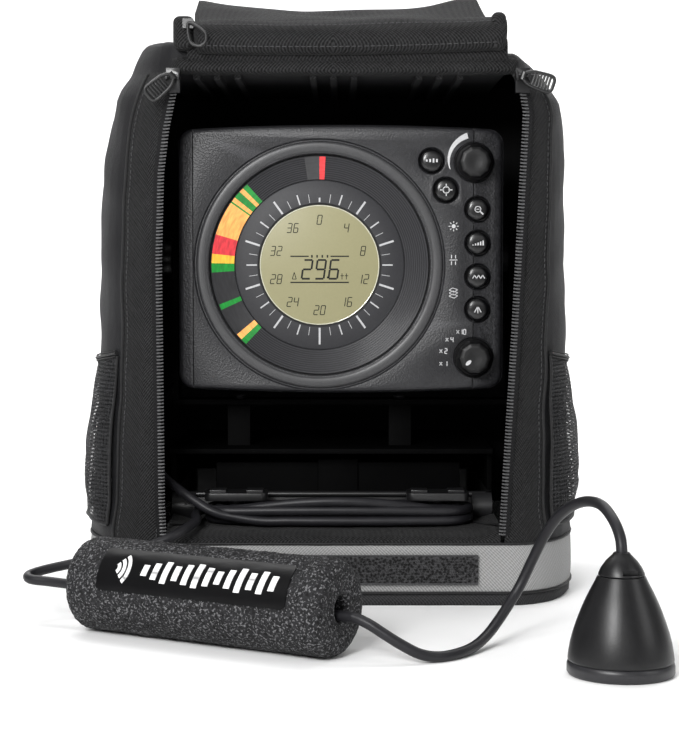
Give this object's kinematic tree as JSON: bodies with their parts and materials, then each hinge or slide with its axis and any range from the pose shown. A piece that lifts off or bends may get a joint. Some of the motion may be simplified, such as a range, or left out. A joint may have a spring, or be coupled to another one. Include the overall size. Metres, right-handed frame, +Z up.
{
  "type": "fish finder",
  "caption": "Portable ice-fishing sonar: a round-dial head on a tilting bracket in a soft carry case, with wound cord, foam float and transducer.",
  "frame": {"origin": "centre of the case's underside, on the surface it stands on", "axes": "+X to the right of someone facing the dial, +Y to the back of the case, +Z up"},
  "size_m": [0.3393, 0.4052, 0.358],
  "materials": {
    "case_fabric": "matte",
    "case_base": "matte",
    "band_fabric": "matte",
    "pocket_mesh": "matte",
    "zip": "satin",
    "zip_metal": "satin",
    "pull_cord": "matte",
    "tray_plastic": "satin",
    "screw_steel": "satin",
    "battery_case": "satin",
    "strap_web": "matte",
    "head_plastic": "satin",
    "seal_rubber": "matte",
    "window_smoke": "gloss",
    "scale_print": "satin",
    "lcd": "gloss",
    "circuit": "satin",
    "knob_plastic": "satin",
    "button_rubber": "satin",
    "cord_jacket": "satin",
    "float_foam": "matte",
    "label_print": "satin",
    "puck_ring": "satin",
    "puck_plastic": "satin"
  },
  "bodies": {
    "root": {"back_panel": "case_fabric", "side_panel_left": "case_fabric", "side_panel_right": "case_fabric", "top_panel": "case_fabric", "gusset_left": "case_fabric", "gusset_right": "case_fabric", "front_sill": "case_fabric", "base_panel": "case_base", "ceiling_board": "case_base", "trim_band": "band_fabric", "hook_strip": "band_fabric", "mesh_pockets": "pocket_mesh", "zipper_tapes": "zip", "tray": "tray_plastic", "cord_cleats": "tray_plastic", "deck": "tray_plastic", "gimbal_bracket": "tray_plastic", "tray_screws": "screw_steel", "bracket_screws": "screw_steel", "battery": "battery_case", "battery_strap": "strap_web", "cord_lead": "cord_jacket", "cord_winding": "cord_jacket", "cord_run": "cord_jacket", "transducer_face": "puck_ring", "transducer_body": "puck_plastic", "transducer_cap": "puck_plastic"},
    "head": {"front_housing": "head_plastic", "rear_housing": "head_plastic", "housing_seal": "seal_rubber", "housing_screws": "screw_steel", "dial_bezel": "head_plastic", "dial_window": "window_smoke", "dial_plate": "scale_print", "lcd_panel": "lcd", "disc_motor": "screw_steel", "main_board": "circuit", "button_pad": "seal_rubber", "rotary_controls": "circuit", "rear_sockets": "knob_plastic", "sonar_plug": "cord_jacket"},
    "led_disc": {"led_disc": "circuit"},
    "gain_knob": {"gain_knob": "knob_plastic"},
    "range_knob": {"range_knob": "knob_plastic"},
    "button_1": {"button_1": "button_rubber"},
    "button_2": {"button_2": "button_rubber"},
    "button_3": {"button_3": "button_rubber"},
    "button_4": {"button_4": "button_rubber"},
    "button_5": {"button_5": "button_rubber"},
    "button_6": {"button_6": "button_rubber"},
    "tilt_knob_left": {"tilt_knob_left": "knob_plastic"},
    "tilt_knob_right": {"tilt_knob_right": "knob_plastic"},
    "slider_left": {"slider_left": "zip_metal"},
    "slider_right": {"slider_right": "zip_metal"},
    "pull_left": {"pull_left": "pull_cord"},
    "pull_right": {"pull_right": "pull_cord"},
    "flap_upper": {"flap_upper": "case_fabric"},
    "flap_lower": {"flap_lower": "case_fabric"},
    "float": {"float": "float_foam", "float_label": "label_print"}
  },
  "joints": [
    {"name": "head_tilt", "type": "hinge", "parent": "root", "child": "head", "pos_m": [0.006, -0.015, 0.202], "axis": [1, 0, 0], "range_deg": [-12, 12], "deforming": ["cord_lead"]},
    {"name": "tilt_knob_left_turn", "type": "hinge", "parent": "head", "child": "tilt_knob_left", "pos_m": [-0.105, -0.015, 0.202], "axis": [-1, 0, 0], "range_deg": [-180, 180]},
    {"name": "tilt_knob_right_turn", "type": "hinge", "parent": "head", "child": "tilt_knob_right", "pos_m": [0.117, -0.015, 0.202], "axis": [1, 0, 0], "range_deg": [-180, 180]},
    {"name": "gain_turn", "type": "hinge", "parent": "head", "child": "gain_knob", "pos_m": [0.0834, -0.07, 0.2587], "axis": [0, -1, 0], "range_deg": [-135, 135]},
    {"name": "range_turn", "type": "hinge", "parent": "head", "child": "range_knob", "pos_m": [0.0835, -0.07, 0.143], "axis": [0, -1, 0], "range_deg": [-30, 120]},
    {"name": "disc_spin", "type": "hinge", "parent": "head", "child": "led_disc", "pos_m": [-0.0084, -0.05, 0.198], "axis": [0, -1, 0], "continuous": true},
    {"name": "button_1_press", "type": "slide", "parent": "head", "child": "button_1", "axis": [0, 1, 0], "range_m": [0, 0.0012], "stiffness_N_per_m": 400},
    {"name": "button_2_press", "type": "slide", "parent": "head", "child": "button_2", "axis": [0, 1, 0], "range_m": [0, 0.0012], "stiffness_N_per_m": 400},
    {"name": "button_3_press", "type": "slide", "parent": "head", "child": "button_3", "axis": [0, 1, 0], "range_m": [0, 0.0012], "stiffness_N_per_m": 400},
    {"name": "button_4_press", "type": "slide", "parent": "head", "child": "button_4", "axis": [0, 1, 0], "range_m": [0, 0.0012], "stiffness_N_per_m": 400},
    {"name": "button_5_press", "type": "slide", "parent": "head", "child": "button_5", "axis": [0, 1, 0], "range_m": [0, 0.0012], "stiffness_N_per_m": 400},
    {"name": "button_6_press", "type": "slide", "parent": "head", "child": "button_6", "axis": [0, 1, 0], "range_m": [0, 0.0012], "stiffness_N_per_m": 400},
    {"name": "slider_left_zip", "type": "slide", "parent": "root", "child": "slider_left", "axis": [-0.0255, 0, -0.9997], "range_m": [0, 0.25]},
    {"name": "slider_right_zip", "type": "slide", "parent": "root", "child": "slider_right", "axis": [-0.0306, 0, -0.9995], "range_m": [0, 0.246]},
    {"name": "pull_left_swing", "type": "hinge", "parent": "slider_left", "child": "pull_left", "pos_m": [-0.0913, -0.1095, 0.305], "axis": [-1, 0, 0], "range_deg": [0, 120]},
    {"name": "pull_right_swing", "type": "hinge", "parent": "slider_right", "child": "pull_right", "pos_m": [0.1078, -0.1095, 0.305], "axis": [-1, 0, 0], "range_deg": [0, 120]},
    {"name": "flap_fold", "type": "hinge", "parent": "root", "child": "flap_upper", "pos_m": [0, -0.097, 0.3275], "axis": [1, 0, 0], "range_deg": [0, 270]},
    {"name": "flap_unfold", "type": "hinge", "parent": "flap_upper", "child": "flap_lower", "pos_m": [0, 0.03, 0.3275], "axis": [1, 0, 0], "range_deg": [-180, 0]},
    {"name": "float_slide", "type": "slide", "parent": "root", "child": "float", "axis": [0.8605, -0.5094, 0], "range_m": [-0.01, 0.006]}
  ],
  "couplings": [
    {"joint": "flap_unfold", "follows": "flap_fold", "ratio": -0.6666}
  ]
}
